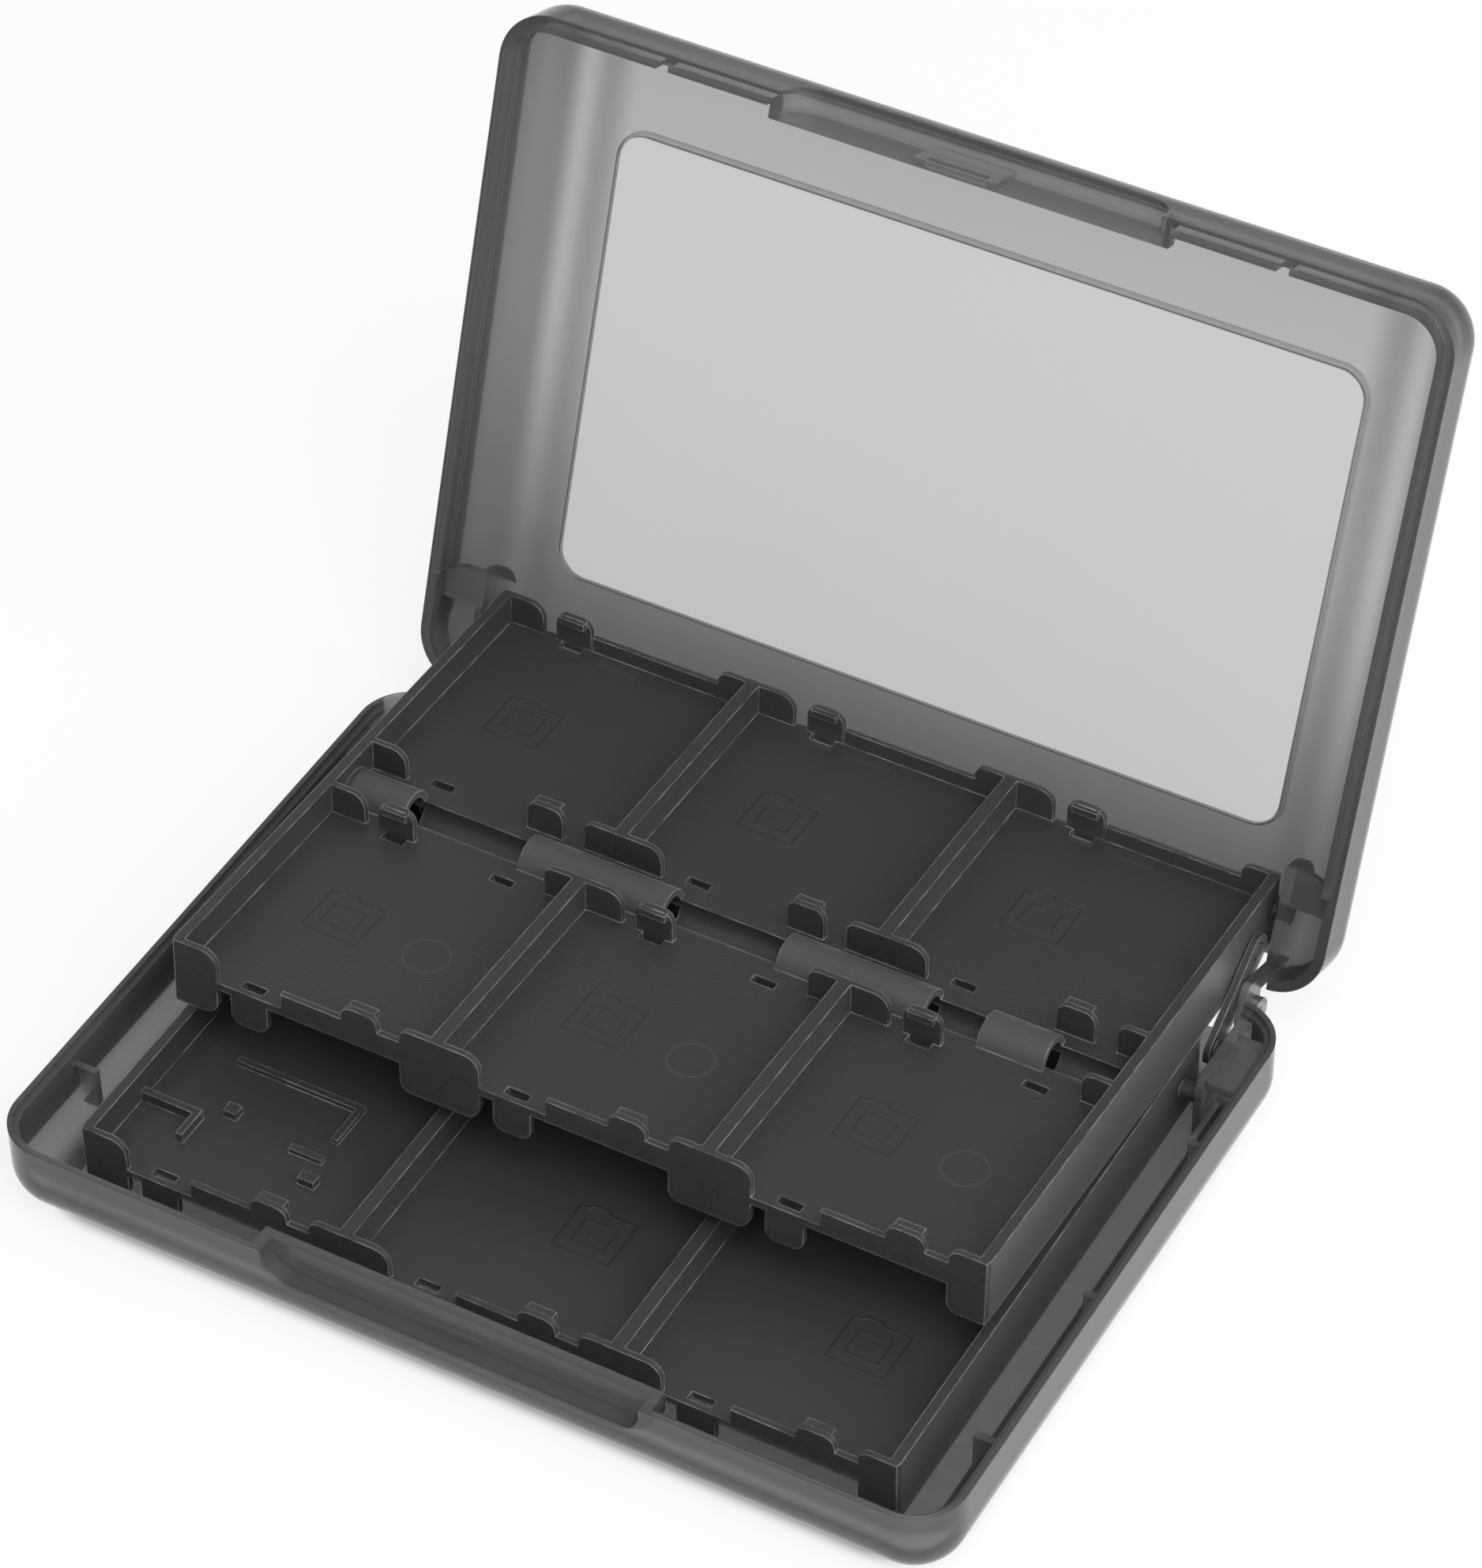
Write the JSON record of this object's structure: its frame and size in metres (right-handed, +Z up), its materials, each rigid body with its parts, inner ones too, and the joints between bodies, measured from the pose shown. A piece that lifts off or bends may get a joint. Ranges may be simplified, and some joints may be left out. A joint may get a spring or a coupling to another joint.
{
  "type": "game card storage case",
  "caption": "Hinged clamshell case of smoke-grey translucent plastic with a clear lid window and two double-sided trays for game cards.",
  "frame": {"origin": "centre of the base's flat bottom face", "axes": "X along the hinge (width), Y from the front edge to the hinge, Z up"},
  "size_m": [0.14, 0.1489, 0.1048],
  "materials": {
    "smoke_plastic": "smoke-grey translucent plastic, fine matt surface",
    "tray_plastic": "smoke-grey translucent plastic, slightly darker than the shells",
    "clear_plastic": "clear glossy plastic pane"
  },
  "bodies": {
    "base": {"base_shell": "smoke_plastic", "lower_tray": "tray_plastic"},
    "lid": {"lid_shell": "smoke_plastic", "lid_window": "clear_plastic"},
    "tray": {"upper_tray": "tray_plastic"},
    "link_left": {"swing_link_left": "tray_plastic"},
    "link_right": {"swing_link_right": "tray_plastic"}
  },
  "joints": [
    {"name": "lid_hinge", "type": "hinge", "parent": "base", "child": "lid", "pos_m": [0, 0.0521, 0.009], "axis": [1, 0, 0], "range_deg": [0, 108.7]},
    {"name": "tray_pivot", "type": "hinge", "parent": "lid", "child": "tray", "pos_m": [0, 0.06435, 0.01629], "axis": [1, 0, 0], "range_deg": [-105.7, 0]},
    {"name": "link_pivot_left", "type": "hinge", "parent": "base", "child": "link_left", "pos_m": [0, 0.04485, 0.00815], "axis": [1, 0, 0], "range_deg": [0, 108.8]},
    {"name": "link_pivot_right", "type": "hinge", "parent": "base", "child": "link_right", "pos_m": [0, 0.04485, 0.00815], "axis": [1, 0, 0], "range_deg": [0, 108.8]}
  ],
  "couplings": [
    {"joint": "tray_pivot", "follows": "lid_hinge", "ratio": -0.97148},
    {"joint": "link_pivot_left", "follows": "lid_hinge", "ratio": 1.0002},
    {"joint": "link_pivot_right", "follows": "lid_hinge", "ratio": 1.0002}
  ]
}
